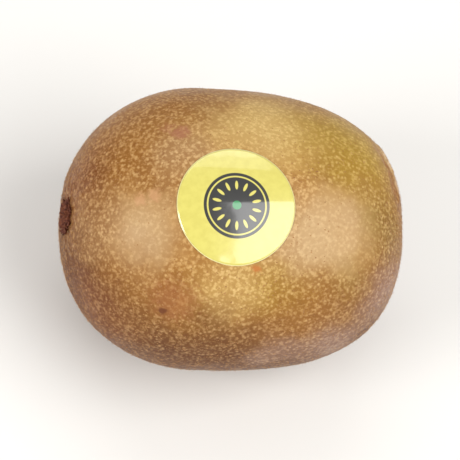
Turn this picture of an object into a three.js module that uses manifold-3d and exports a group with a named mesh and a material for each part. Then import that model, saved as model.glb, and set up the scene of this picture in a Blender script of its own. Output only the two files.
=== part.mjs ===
// A golden kiwi fruit lying on its side. The fruit is one grown body, with its woody stem scar at +X
// and the dried remains of its flower at -X. A round sticker follows the skin on the upper side.
// Millimetres, +Z up, resting on a small flat spot at z = 0.
import * as THREE from "three";
import { mergeVertices } from "three/addons/utils/BufferGeometryUtils.js";
import Module from "manifold-3d";

const wasm = await Module();
wasm.setup();

// Driving dimensions of the fruit
const fruitLength = 69.2; // of the skin, without the dried remains
const fruitWidth = 57.8;
const fruitHeight = 54.8; // before the resting spot is pressed flat
const bellyX = -7; // the widest place lies nearer the blossom end
const pressedFlat = 0.8; // how deep the resting spot is pressed in
const ribCount = 5; // soft ribs that fade out toward the belly
const ribHeight = 0.011; // share of the radius at the ends
const ribTurn = 0.7; // radians
const aroundSteps = 72;
const alongSteps = 46;
const poleCrowding = 0.5; // draws the rings of vertices toward both ends, 0 spaces them evenly

// The two halves. Fullness 2 is a plain ellipse, more is blunter. The dimple is the hollow at the end.
const stemHalf = {
  side: 1,
  reach: fruitLength / 2 - bellyX,
  fullnessAlong: 2.7,
  fullnessAcross: 2.75,
  dimple: { y: 0, z: 0.5, depth: 1.1, radius: 6 },
};
const blossomHalf = {
  side: -1,
  reach: fruitLength / 2 + bellyX,
  fullnessAlong: 2.0,
  fullnessAcross: 2.25,
  dimple: { y: -0.6, z: 4.2, depth: 0.7, radius: 5 },
};

const mergeDistance = 1e-4; // vertices closer than this become one
const rootDepth = 1.5; // how far the scar and the plug are sunk into the body

// The woody stem scar and the dried sepals round it
const scarRadius = 2.5;
const scarHeight = 1.0;
const scarSegments = 20;
const sepalCount = 5;
const sepalLength = 3.6;
const sepalWidth = 2.6;
const sepalThickness = 0.8;
const sepalLift = 0.3; // of its root above the hollow
const sepalTilt = 0.12; // radians, its tip lifts off the skin
const sepalTurn = 0.4; // radians, where the first one stands
const sepalRootShare = 0.7; // its root's distance from the middle, as a share of the scar's radius

// The dried flower remains, a low plug that carries a tuft of style stubs
const plugRadius = 3.0;
const plugHeight = 1.0;
const plugSegments = 18;
const styleCount = 22;
const styleLength = 2.2;
const styleRadius = 0.38;
const styleTipShare = 0.45; // of its radius
const styleSides = 5;
const styleSink = 0.1; // of its root below the bare end
const styleUnevenness = 0.2; // share of the length by which the stubs differ
const styleUnevenTurn = 2.1; // radians from one stub to the next
const styleSpread = 2.5; // distance of the outer stubs' roots from the middle
const styleLeanInner = 0.25; // radians away from the long axis
const styleLeanOuter = 1.0;
const goldenAngle = Math.PI * (3 - Math.sqrt(5));

// The sticker
const stickerDiameter = 23.4;
const stickerThickness = 0.3;
const stickerGap = 0.15; // from the skin
const stickerX = -3.6;
const stickerElevation = THREE.MathUtils.degToRad(71.2); // of its normal, leaning toward -Y
const stickerRings = 4;
const stickerSegments = 44;

const skinMaterial = new THREE.MeshStandardMaterial({ color: "#b18a54", roughness: 0.5, metalness: 0 });
const stickerMaterial = new THREE.MeshStandardMaterial({ color: "#fbf08f", roughness: 0.3, metalness: 0 });

// The radius of the fruit at a place along it, as a share of the radius at the belly.
function swell(half, along) {
  const left = 1 - Math.abs(along) ** half.fullnessAlong;
  return Math.max(0, left) ** (1 / half.fullnessAcross);
}

// A point of the skin. along runs from -1 at the blossom end to 1 at the stem end, and round is the
// angle about the long axis, from +Y toward +Z.
function skinPoint(along, round) {
  const half = along > 0 ? stemHalf : blossomHalf;
  const rib = 1 + ribHeight * Math.abs(along) ** 3 * Math.cos(ribCount * round + ribTurn);
  const radius = swell(half, along) * rib;
  const y = (fruitWidth / 2) * radius * Math.cos(round);
  const z = (fruitHeight / 2) * radius * Math.sin(round);
  return new THREE.Vector3(endX(half, along, y, z), y, z);
}

// The place along X of a skin point, with the hollow at its end taken in.
function endX(half, along, y, z) {
  const { dimple } = half;
  const away = Math.hypot(y - dimple.y, z - dimple.z) / dimple.radius;
  const hollow = dimple.depth * Math.exp(-away * away) * Math.abs(along) ** 3;
  return bellyX + along * half.reach - half.side * hollow;
}

// The place along X of the bare end, at a distance from the axis, where remains are rooted.
function rootX(half, y, z) {
  const share = Math.hypot(y / (fruitWidth / 2), z / (fruitHeight / 2));
  const along = half.side * (1 - share ** half.fullnessAcross) ** (1 / half.fullnessAlong);
  return endX(half, along, y, z);
}

// Turns a closed geometry into a solid that can be joined and cut.
function toSolid(geometry) {
  geometry.deleteAttribute("normal");
  geometry.deleteAttribute("uv");
  const merged = mergeVertices(geometry, mergeDistance);
  return new wasm.Manifold(
    new wasm.Mesh({
      numProp: 3,
      vertProperties: merged.attributes.position.array,
      triVerts: new Uint32Array(merged.index.array),
    }),
  );
}

function toGeometry(solid) {
  const { vertProperties, triVerts } = solid.getMesh();
  const geometry = new THREE.BufferGeometry();
  geometry.setAttribute("position", new THREE.BufferAttribute(vertProperties, 3));
  geometry.setIndex(new THREE.BufferAttribute(triVerts, 1));
  geometry.computeVertexNormals();
  return geometry;
}

function makeMesh(name, geometry, material) {
  const mesh = new THREE.Mesh(geometry, material);
  mesh.name = name;
  return mesh;
}

// The grown body: a sphere's vertices moved out to the skin.
function makeBody() {
  const geometry = new THREE.SphereGeometry(1, aroundSteps, alongSteps);
  geometry.rotateZ(-Math.PI / 2); // the sphere's poles now lie on X
  const position = geometry.attributes.position;
  const vertex = new THREE.Vector3();
  for (let i = 0; i < position.count; i++) {
    vertex.fromBufferAttribute(position, i);
    const even = Math.acos(THREE.MathUtils.clamp(vertex.x, -1, 1));
    const crowded = even - (poleCrowding / 2) * Math.sin(2 * even);
    const round = Math.atan2(vertex.z, vertex.y);
    const moved = skinPoint(Math.cos(crowded), round);
    position.setXYZ(i, moved.x, moved.y, moved.z);
  }
  return toSolid(geometry);
}

// A shape made along +Y is laid along the outward axis of an end, and set down on it.
function plantOnEnd(geometry, half, y, z, sink) {
  geometry.rotateZ(-half.side * (Math.PI / 2));
  geometry.translate(rootX(half, y, z) - half.side * sink, y, z);
  return toSolid(geometry);
}

// The woody scar where the stalk broke off, cupped in the middle.
function makeScar() {
  const top = rootDepth + scarHeight;
  const outline = [
    [0, 0],
    [scarRadius, 0],
    [scarRadius, top - 0.35],
    [scarRadius * 0.82, top],
    [scarRadius * 0.6, top - 0.25],
    [scarRadius * 0.3, top - 0.6],
    [0, top - 0.55],
  ].map(([radius, height]) => new THREE.Vector2(radius, height));
  const { y, z } = stemHalf.dimple;
  return plantOnEnd(new THREE.LatheGeometry(outline, scarSegments), stemHalf, y, z, rootDepth);
}

// One dried sepal, a small pointed lobe that lies against the skin beside the scar.
function makeSepal(index) {
  const angle = (index / sepalCount) * 2 * Math.PI + sepalTurn;
  const halfWidth = sepalWidth / 2;
  const lobe = new THREE.Shape();
  lobe.moveTo(0, -halfWidth);
  lobe.quadraticCurveTo(sepalLength * 0.75, -halfWidth, sepalLength, 0);
  lobe.quadraticCurveTo(sepalLength * 0.75, halfWidth, 0, halfWidth);
  const settings = { depth: sepalThickness, bevelEnabled: false, curveSegments: 4 };
  const geometry = new THREE.ExtrudeGeometry(lobe, settings);
  const { y, z } = stemHalf.dimple;
  const rootDistance = scarRadius * sepalRootShare;
  geometry.rotateY(-sepalTilt);
  geometry.translate(rootDistance, 0, -sepalThickness * 0.5);
  geometry.rotateZ(angle);
  geometry.rotateY(Math.PI / 2);
  geometry.translate(rootX(stemHalf, y, z) + sepalLift, y, z);
  return toSolid(geometry);
}

// The low plug of dried flower tissue, hollow in the middle.
function makePlug() {
  const top = rootDepth + plugHeight;
  const outline = [
    [0, 0],
    [plugRadius, 0],
    [plugRadius, top - 0.5],
    [plugRadius * 0.75, top],
    [plugRadius * 0.4, top - 0.1],
    [0, top - 0.45],
  ].map(([radius, height]) => new THREE.Vector2(radius, height));
  const { y, z } = blossomHalf.dimple;
  return plantOnEnd(new THREE.LatheGeometry(outline, plugSegments), blossomHalf, y, z, rootDepth);
}

// One broken style: a tapered stub that leans outward, more so the further out it stands.
function makeStyle(index) {
  const share = Math.sqrt((index + 0.5) / styleCount);
  const angle = index * goldenAngle;
  const lean = THREE.MathUtils.lerp(styleLeanInner, styleLeanOuter, share);
  const length = styleLength * (1 - styleUnevenness * (1 - Math.sin(index * styleUnevenTurn)));
  const geometry = new THREE.CylinderGeometry(styleRadius * styleTipShare, styleRadius, length, styleSides);
  geometry.translate(0, length / 2, 0);
  geometry.rotateX(lean);
  geometry.rotateY(angle);
  geometry.translate(
    share * styleSpread * Math.sin(angle),
    0,
    share * styleSpread * Math.cos(angle),
  );
  const { y, z } = blossomHalf.dimple;
  return plantOnEnd(geometry, blossomHalf, y, z, styleSink);
}

const axisHeight = fruitHeight / 2 - pressedFlat;

function makeFruit() {
  let fruit = makeBody();
  fruit = fruit.add(makeScar());
  fruit = fruit.add(makePlug());
  for (let i = 0; i < sepalCount; i++) fruit = fruit.add(makeSepal(i));
  for (let i = 0; i < styleCount; i++) fruit = fruit.add(makeStyle(i));
  const underDepth = 20;
  const under = new THREE.BoxGeometry(2 * fruitLength, 2 * fruitWidth, underDepth);
  under.translate(0, 0, -axisHeight - underDepth / 2);
  return makeMesh("fruit", toGeometry(fruit.subtract(toSolid(under))), skinMaterial);
}

// The height of the skin over the long axis, measured along the sticker's normal. x is the place
// along the fruit, and across is the distance sideways in the sticker's plane.
function skinHeight(x, across) {
  const half = x > bellyX ? stemHalf : blossomHalf;
  const radius = swell(half, (x - bellyX) / half.reach);
  const y = fruitWidth / 2;
  const z = fruitHeight / 2;
  const up = { y: -Math.cos(stickerElevation), z: Math.sin(stickerElevation) };
  const side = { y: up.z, z: -up.y };
  const a = (up.y / y) ** 2 + (up.z / z) ** 2;
  const b = across * ((side.y * up.y) / y ** 2 + (side.z * up.z) / z ** 2);
  const c = across ** 2 * ((side.y / y) ** 2 + (side.z / z) ** 2) - radius ** 2;
  return (-b + Math.sqrt(b * b - a * c)) / a;
}

// A thin disc, turned as a profile of rings and then laid on the skin ring by ring.
function makeSticker() {
  const radius = stickerDiameter / 2;
  const outline = [];
  for (let i = 0; i <= stickerRings; i++)
    outline.push(new THREE.Vector2((radius * i) / stickerRings, 0));
  for (let i = stickerRings; i >= 0; i--)
    outline.push(new THREE.Vector2((radius * i) / stickerRings, stickerThickness));
  const geometry = new THREE.LatheGeometry(outline, stickerSegments);
  const position = geometry.attributes.position;
  for (let i = 0; i < position.count; i++) {
    const across = -position.getZ(i);
    const height = skinHeight(stickerX + position.getX(i), across) + stickerGap + position.getY(i);
    position.setY(i, height);
  }
  geometry.rotateX(Math.PI - stickerElevation);
  geometry.translate(stickerX, 0, 0);
  return makeMesh("sticker", toGeometry(toSolid(geometry)), stickerMaterial);
}

const kiwi = new THREE.Group();
kiwi.add(makeFruit(), makeSticker());

// The origin lies under the middle of the fruit's box, on the surface that it rests on.
const middle = new THREE.Box3().setFromObject(kiwi.children[0], true).getCenter(new THREE.Vector3());
kiwi.position.set(-middle.x, -middle.y, axisHeight);

export default kiwi;
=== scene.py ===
# %% [markdown]
# A golden kiwi fruit, dressed step by step.
# The fruit lies on its side on a pale floor and wears one round sticker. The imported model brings
# its exact size and place. Everything below only adds what the eye reads: the lively bronze
# skin, the dried remains at both ends, the short hairs and the glossy film of the sticker.

# %% Load the frame
import math

import bpy
import numpy as np
from mathutils import Matrix, Vector, noise


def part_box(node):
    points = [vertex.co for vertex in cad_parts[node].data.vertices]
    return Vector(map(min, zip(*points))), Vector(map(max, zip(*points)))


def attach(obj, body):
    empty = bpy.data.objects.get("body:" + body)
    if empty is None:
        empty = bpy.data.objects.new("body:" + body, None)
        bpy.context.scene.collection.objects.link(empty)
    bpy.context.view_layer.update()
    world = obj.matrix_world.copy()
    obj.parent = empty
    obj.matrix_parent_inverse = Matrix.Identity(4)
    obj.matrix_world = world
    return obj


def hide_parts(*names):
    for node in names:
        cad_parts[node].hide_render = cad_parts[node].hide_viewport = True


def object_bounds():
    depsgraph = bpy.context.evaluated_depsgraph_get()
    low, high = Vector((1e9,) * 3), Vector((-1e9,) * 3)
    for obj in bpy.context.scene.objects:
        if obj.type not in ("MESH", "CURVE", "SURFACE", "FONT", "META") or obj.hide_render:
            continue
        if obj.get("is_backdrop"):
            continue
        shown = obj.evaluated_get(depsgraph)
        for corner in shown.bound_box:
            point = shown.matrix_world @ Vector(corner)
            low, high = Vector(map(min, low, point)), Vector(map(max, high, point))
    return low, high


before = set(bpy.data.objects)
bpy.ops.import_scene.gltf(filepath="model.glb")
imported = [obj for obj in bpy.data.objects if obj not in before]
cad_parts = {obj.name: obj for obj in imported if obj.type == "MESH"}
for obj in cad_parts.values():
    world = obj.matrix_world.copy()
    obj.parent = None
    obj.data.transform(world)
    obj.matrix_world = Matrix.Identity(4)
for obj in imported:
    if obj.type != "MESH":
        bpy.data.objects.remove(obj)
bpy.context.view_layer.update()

# %% [markdown]
# A fruit is easier to think about in millimetres, and Blender counts in metres. So every size
# below is in millimetres, and one helper turns points into metres when it makes a mesh. It is
# the only place where the two units meet, which keeps a slip of a thousand out of the rest.

# %% A helper that turns points and faces into a piece
MM = 0.001


def mesh_piece(name, points, faces):
    """A new smooth mesh object in the scene, from points in millimetres."""
    mesh = bpy.data.meshes.new(name)
    mesh.from_pydata((np.asarray(points) * MM).tolist(), [], [tuple(face) for face in faces])
    mesh.update()
    mesh.polygons.foreach_set("use_smooth", [True] * len(mesh.polygons))
    piece = bpy.data.objects.new(name, mesh)
    bpy.context.scene.collection.objects.link(piece)
    print(name, "has", len(mesh.vertices), "vertices and", len(mesh.polygons), "faces")
    return piece


# %% [markdown]
# A kiwi fruit is not an egg and not a ball. Along its length it is fullest a little nearer the
# blossom end, and its stem end is blunter, almost square at the shoulder. A sphere with a
# subdivision modifier could be pulled into that shape by hand, but a formula says it more
# exactly: each half has a reach and two numbers for how full it is, where 2 would be an ellipse
# and more is blunter. Five soft ribs fade out toward the belly, and each end has a hollow.

# %% The driving dimensions of the fruit
FRUIT_WIDTH = 57.8
FRUIT_HEIGHT = 54.8
FRUIT_LENGTH = 69.2
BELLY_X = -7.0
PRESSED_FLAT = 0.8
RIB_COUNT = 5
RIB_HEIGHT = 0.011
RIB_TURN = 0.7
STEM = {
    "side": 1, "reach": FRUIT_LENGTH / 2 - BELLY_X, "full_along": 2.7, "full_across": 2.75,
    "hollow_y": 0.0, "hollow_z": 0.5, "hollow_depth": 1.1, "hollow_radius": 6.0,
}
BLOSSOM = {
    "side": -1, "reach": FRUIT_LENGTH / 2 + BELLY_X, "full_along": 2.0, "full_across": 2.25,
    "hollow_y": -0.6, "hollow_z": 4.2, "hollow_depth": 0.7, "hollow_radius": 5.0,
}

# %% The formula of the bare skin


def end_x(half, along, y, z):
    """The place along X of a skin point, with the hollow at its end taken in."""
    away = np.hypot(y - half["hollow_y"], z - half["hollow_z"]) / half["hollow_radius"]
    hollow = half["hollow_depth"] * np.exp(-away**2) * np.abs(along) ** 3
    return BELLY_X + along * half["reach"] - half["side"] * hollow


def half_skin(half, along, around):
    far = np.abs(along)
    radius = np.maximum(0, 1 - far ** half["full_along"]) ** (1 / half["full_across"])
    radius = radius * (1 + RIB_HEIGHT * far**3 * np.cos(RIB_COUNT * around + RIB_TURN))
    y = FRUIT_WIDTH / 2 * radius * np.cos(around)
    z = FRUIT_HEIGHT / 2 * radius * np.sin(around)
    return np.stack(np.broadcast_arrays(end_x(half, along, y, z), y, z), axis=-1)


def bare_skin(along, around):
    """along runs from -1 at the blossom end to 1 at the stem end, around is an angle from +Y to +Z."""
    along, around = np.broadcast_arrays(along, around)
    stem_side = (along > 0)[..., None]
    return np.where(stem_side, half_skin(STEM, along, around), half_skin(BLOSSOM, along, around))


# %% [markdown]
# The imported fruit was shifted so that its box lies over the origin. Rather than copy that shift
# as a number, the sticker tells it: in the formula its middle lies at one known place along the
# fruit, and in the frame its box shows where it really lies.

# %% Where the long axis lies in the frame
STICKER_X = -3.6
sticker_low, sticker_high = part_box("sticker")
middle_x = (sticker_low.x + sticker_high.x) / 2 / MM - STICKER_X
axis_z = FRUIT_HEIGHT / 2 - PRESSED_FLAT
MIDDLE = np.array([middle_x, 0.0, axis_z])
print("the long axis lies", round(axis_z, 2), "mm high and is shifted", round(middle_x, 3), "mm")

# %% [markdown]
# The skin is one closed grid of rings, like the lines of latitude on a globe whose poles are the
# two ends. A remeshed lump would also close up, but rings keep the grain of the mesh in line
# with the fruit, give an easy map for painting, and let the spacing of the rings be given: they
# crowd toward the ends, where the form turns fastest.

# %% The grid of the skin
AROUND_STEPS = 448
RING_COUNT = 213
POLE_CROWDING = 0.5

even = np.pi * np.arange(1, RING_COUNT + 1) / (RING_COUNT + 1)
ring_along = np.cos(even - POLE_CROWDING / 2 * np.sin(2 * even))
step_around = 2 * np.pi * np.arange(AROUND_STEPS) / AROUND_STEPS
rings = bare_skin(ring_along[:, None], step_around[None, :]).reshape(-1, 3)
poles = bare_skin(np.array([1.0, -1.0]), np.array([0.0, 0.0]))
skin_points = np.concatenate([rings, poles]) + MIDDLE


def ring_faces(ring_total, steps):
    """Four-cornered faces between neighbouring rings, wound so that they look outward."""
    ring, step = np.meshgrid(np.arange(ring_total - 1), np.arange(steps), indexing="ij")
    here, there = ring * steps, (ring + 1) * steps
    following = (step + 1) % steps
    corners = [here + step, there + step, there + following, here + following]
    return np.stack(corners, axis=-1).reshape(-1, 4).tolist()


def cap_faces(pole, first, steps, flip):
    """A fan of triangles from a pole to the ring that starts at vertex number first."""
    fan = [(pole, first + i, first + (i + 1) % steps) for i in range(steps)]
    return [(a, c, b) for a, b, c in fan] if flip else fan


stem_pole = RING_COUNT * AROUND_STEPS
skin_faces = ring_faces(RING_COUNT, AROUND_STEPS)
skin_faces += cap_faces(stem_pole, 0, AROUND_STEPS, flip=False)
skin_faces += cap_faces(stem_pole + 1, (RING_COUNT - 1) * AROUND_STEPS, AROUND_STEPS, flip=True)
fruit_skin = mesh_piece("fruit_skin", skin_points, skin_faces)

# %% [markdown]
# Now the skin gets its relief. A displacement modifier with a texture could do it, but several
# of these forms have a place of their own, so each is a small function of the point that it
# lifts: soft lumps over the whole body, shallow lengthwise furrows, creases that run into both
# ends, a raised fold on the stem shoulder with a groove beside it, two sunken scuffs and a
# raised streak. Under the sticker the skin stays calm, because the film lies tight there.

# %% Helpers for relief


def smooth_step(low, high, value):
    share = np.clip((value - low) / (high - low), 0, 1)
    return share * share * (3 - 2 * share)


def wander(points, size, shift=0.0):
    """Soft noise from about -1 to 1, with hills roughly one size apart."""
    return np.array([noise.noise(Vector(place)) for place in points / size + shift])


def line_distance(points, start, end):
    """How far each point lies from the straight line between two others."""
    start, end = np.array(start), np.array(end)
    share = np.clip((points - start) @ (end - start) / ((end - start) @ (end - start)), 0, 1)
    return np.linalg.norm(points - start - share[:, None] * (end - start), axis=1)


# %% The plane of the sticker
STICKER_RADIUS = 11.7
STICKER_ELEVATION = math.radians(71.2)
sticker_side = np.array([0.0, math.sin(STICKER_ELEVATION), math.cos(STICKER_ELEVATION)])
sticker_normal = np.array([0.0, -math.cos(STICKER_ELEVATION), math.sin(STICKER_ELEVATION)])
sticker_foot = MIDDLE + np.array([STICKER_X, 0.0, 0.0])
print("the sticker leans", round(90 - math.degrees(STICKER_ELEVATION), 1), "degrees off the vertical")


def under_sticker(points, margin=0.0):
    """1 well inside the sticker's edge, 0 outside it."""
    off = points - sticker_foot
    out = np.hypot(off[:, 0], off @ sticker_side)
    share = 1 - smooth_step(STICKER_RADIUS - 0.2 + margin, STICKER_RADIUS + 1.2 + margin, out)
    return np.where(off @ sticker_normal > 0, share, 0.0)


# %% The relief of the skin, in mm
LUMP_SIZE, SMALL_LUMP_SIZE, LUMP_HEIGHT = 13.0, 6.0, 0.16
FURROW_SIZE, FURROW_HEIGHT = 2.6, 0.05
FURROW_STRETCH = np.array([0.16, 1.0, 1.0])
PEEL_SIZE, PEEL_HEIGHT = 1.25, 0.022
CREASE_HEIGHT = 0.30
CREASE_START, CREASE_FULL, CREASE_REACH = 1.5, 4.5, 8.5
CREASE_SWAY_SIZE = 7.0
STEM_CREASES, BLOSSOM_CREASES = 9, 11
SHOULDER = [(32.4, 0.5, 40.4), (31.6, 7.0, 40.8), (29.6, 13.5, 39.6)]
SHOULDER_HEIGHT = 0.34
SHOULDER_HALF_WIDTH = 0.65
GROOVE = [(28.0, 11.8, 42.6), (30.1, 7.4, 42.8), (31.4, 1.5, 42.6)]
GROOVE_DEPTH = 0.10
GROOVE_HALF_WIDTH = 0.8
SCUFFS = [((-13.4, 7.5, 52.3), 1.8, 0.10), ((-15.7, 8.9, 51.2), 1.3, 0.06)]
STREAK = [(-22.6, -6.8, 49.0), (-17.6, -6.0, 50.9)]
STREAK_HALF_WIDTH = 0.7
STREAK_HEIGHT = 0.05


def crease(points, half, count, shift):
    """Creases that run into the hollow of one end and fade out away from it."""
    y = points[:, 1] - MIDDLE[1] - half["hollow_y"]
    z = points[:, 2] - MIDDLE[2] - half["hollow_z"]
    out = np.hypot(y, z)
    this_side = (points[:, 0] - MIDDLE[0]) * half["side"] > 0
    turn = np.arctan2(z, y) + 0.5 * wander(points, CREASE_SWAY_SIZE, shift)
    fade = smooth_step(CREASE_START, CREASE_FULL, out) * np.exp(-((out / CREASE_REACH) ** 2))
    return np.where(this_side, fade * np.cos(count * turn + shift), 0.0)


def skin_relief(points):
    height = LUMP_HEIGHT * wander(points, LUMP_SIZE, 3.1)
    height += 0.5 * LUMP_HEIGHT * wander(points, SMALL_LUMP_SIZE, 8.7)
    height += FURROW_HEIGHT * wander(points * FURROW_STRETCH, FURROW_SIZE, 5.5)
    height += PEEL_HEIGHT * wander(points, PEEL_SIZE, 1.9)
    creases = crease(points, STEM, STEM_CREASES, 0.4)
    creases = creases + 0.7 * crease(points, BLOSSOM, BLOSSOM_CREASES, 2.0)
    height += CREASE_HEIGHT * creases
    for start, end in zip(SHOULDER, SHOULDER[1:]):
        apart = line_distance(points, start, end) / SHOULDER_HALF_WIDTH
        height = np.maximum(height, height * 0.4 + SHOULDER_HEIGHT * np.exp(-(apart**2)))
    for centre, radius, depth in SCUFFS:
        apart = np.linalg.norm(points - np.array(centre), axis=1) / radius
        height -= depth * np.exp(-(apart**2))
    for start, end in zip(GROOVE, GROOVE[1:]):
        apart = line_distance(points, start, end) / GROOVE_HALF_WIDTH
        height -= GROOVE_DEPTH * np.exp(-(apart**2))
    apart = line_distance(points, *STREAK) / STREAK_HALF_WIDTH
    height += STREAK_HEIGHT * np.exp(-(apart**2))
    return height * (1 - under_sticker(points))


# %% Lift the skin along its normals
def vertex_normals(piece):
    normals = np.empty(len(piece.data.vertices) * 3)
    piece.data.vertex_normals.foreach_get("vector", normals)
    return normals.reshape(-1, 3)


relief = skin_relief(skin_points)
skin_points = skin_points + vertex_normals(fruit_skin) * relief[:, None]
skin_points[:, 2] = np.maximum(skin_points[:, 2], 0.0)
fruit_skin.data.vertices.foreach_set("co", (skin_points * MM).astype(np.float32).ravel())
fruit_skin.data.update()
skin_normals = vertex_normals(fruit_skin)
print("relief from", round(relief.min(), 3), "to", round(relief.max(), 3), "mm")

# %% [markdown]
# A map of the skin, as if its peel were rolled out flat. The colours below don't need it, since
# they are worked out in space, but a painter or a baker of textures does. Its seam runs along
# the far side, and each face keeps its own corners there, so that nothing is smeared across.

# %% The rolled-out map
ring_share = 1 - even / np.pi
corner_uv = []
for face in skin_faces:
    columns = [v % AROUND_STEPS for v in face if v < stem_pole]
    crosses_seam = max(columns) - min(columns) > AROUND_STEPS / 2
    for v in face:
        column = v % AROUND_STEPS if v < stem_pole else columns[0] + 0.5
        if crosses_seam and column < AROUND_STEPS / 2:
            column += AROUND_STEPS
        row = ring_share[v // AROUND_STEPS] if v < stem_pole else float(v == stem_pole)
        corner_uv += [column / AROUND_STEPS, row]
uv_map = fruit_skin.data.uv_layers.new(name="OFBake")
uv_map.data.foreach_set("uv", corner_uv)
print("the map has", len(corner_uv) // 2, "corners")

# %% [markdown]
# Materials are made of nodes, and a few helpers keep them readable: one adds a node and fills
# its sockets, the others name the handful of nodes that come back all the time. The nodes could
# be placed by hand in the editor, but then a change of one colour would be a search.

# %% Helpers for materials


def new_material(name):
    material = bpy.data.materials.new(name)
    material.use_nodes = True
    return material, material.node_tree, material.node_tree.nodes["Principled BSDF"]


def fill(tree, node, key, value):
    """A value that is a socket gets linked, and anything else is set on the socket itself."""
    if isinstance(value, bpy.types.NodeSocket):
        tree.links.new(value, node.inputs[key])
    else:
        node.inputs[key].default_value = value


def add_node(tree, kind, inputs=(), **settings):
    node = tree.nodes.new("ShaderNode" + kind)
    for key, value in settings.items():
        setattr(node, key, value)
    for key, value in dict(inputs).items():
        fill(tree, node, key, value)
    return node


def math_node(tree, operation, a, b=0.0, c=0.0):
    return add_node(tree, "Math", {0: a, 1: b, 2: c}, operation=operation).outputs[0]


def vector_node(tree, operation, a, b=None):
    """Arithmetic on places. A distance, a length or a dot product comes out as one number."""
    node = add_node(tree, "VectorMath", {0: a}, operation=operation)
    if b is not None:
        fill(tree, node, "Scale" if operation == "SCALE" else 1, b)
    measures = operation in ("DISTANCE", "LENGTH", "DOT_PRODUCT")
    return node.outputs["Value" if measures else "Vector"]


def fade_node(tree, value, low, high):
    """0 at low and 1 at high, with soft ends. low may be the greater one."""
    inputs = {"Value": value, "From Min": low, "From Max": high}
    return add_node(tree, "MapRange", inputs, interpolation_type="SMOOTHSTEP").outputs[0]


def mix_node(tree, share, a, b, blend="MIX"):
    node = add_node(tree, "Mix", {0: share, 6: a, 7: b}, data_type="RGBA", blend_type=blend)
    return node.outputs[2]


def noise_node(tree, place, size, detail=3.0, roughness=0.5):
    """Noise from 0 to 1 whose patches are about size mm apart."""
    inputs = {"Vector": place, "Scale": 1 / size, "Detail": detail, "Roughness": roughness}
    return add_node(tree, "TexNoise", inputs).outputs["Fac"]


def place_in_mm(tree):
    return vector_node(tree, "SCALE", add_node(tree, "TexCoord").outputs["Object"], 1 / MM)


def mottled(tree, place, size, detail, edges, first, second):
    """Two colours in soft patches about size mm apart."""
    share = fade_node(tree, noise_node(tree, place, size, detail), *edges)
    return mix_node(tree, share, first, second)


def plain_finish(tree, shader, tint, roughness, gloss):
    tree.links.new(tint, shader.inputs["Base Color"])
    shader.inputs["Roughness"].default_value = roughness
    shader.inputs["Specular IOR Level"].default_value = gloss


def colour(red, green, blue):
    """A colour as a screen shows it, from 0 to 255, in the linear light that shaders use."""
    share = np.array([red, green, blue]) / 255
    linear = np.where(share <= 0.04045, share / 12.92, ((share + 0.055) / 1.055) ** 2.4)
    return (*linear.tolist(), 1.0)


# %% [markdown]
# The colour of a golden kiwi fruit is uneven on purpose: it ripens under leaves, rubs against twigs
# and dries from the ends. So the ground is a mottled bronze. Toward the ends it turns russet, partly
# real browning and partly painted shade, and toward the underside it turns dark brown, which is
# painted shade. On it lie soft zones, each with a place on the fruit: honey gold above and below
# the sticker, olive on the stem side, russet on the blossom side. The tan zones on both sides of
# the sticker are painted highlights, the grey rose zones along the lower rim are a painted sheen,
# and the dark zones low on the blossom side and at the front are painted shade. A painted image
# would freeze these at one sharpness. Worked out in space, they stay soft at any distance and
# can be moved by changing one line.

# %% The colour zones
# Some of these colours paint light: the tan also paints highlights, the grey rose paints a sheen on the
# lower rim, the two darkest browns paint shade, and the russet is partly painted shade.
HONEY = colour(220, 190, 121)
OLIVE = colour(186, 156, 62)
TAN_AND_HIGHLIGHT = colour(219, 190, 143)
BRONZE = colour(183, 133, 60)
BROWN = colour(162, 113, 52)
RUSSET = colour(128, 68, 10)
LOW_SHADE_BROWN = colour(98, 50, 10)
RIM_SHEEN_TINT = colour(166, 136, 122)
ROSE = colour(160, 100, 72)
MOSS = colour(166, 152, 74)
PALE_MOSS = colour(168, 152, 80)
PAINTED_RIM_SHADE = colour(100, 44, 0)

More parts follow.
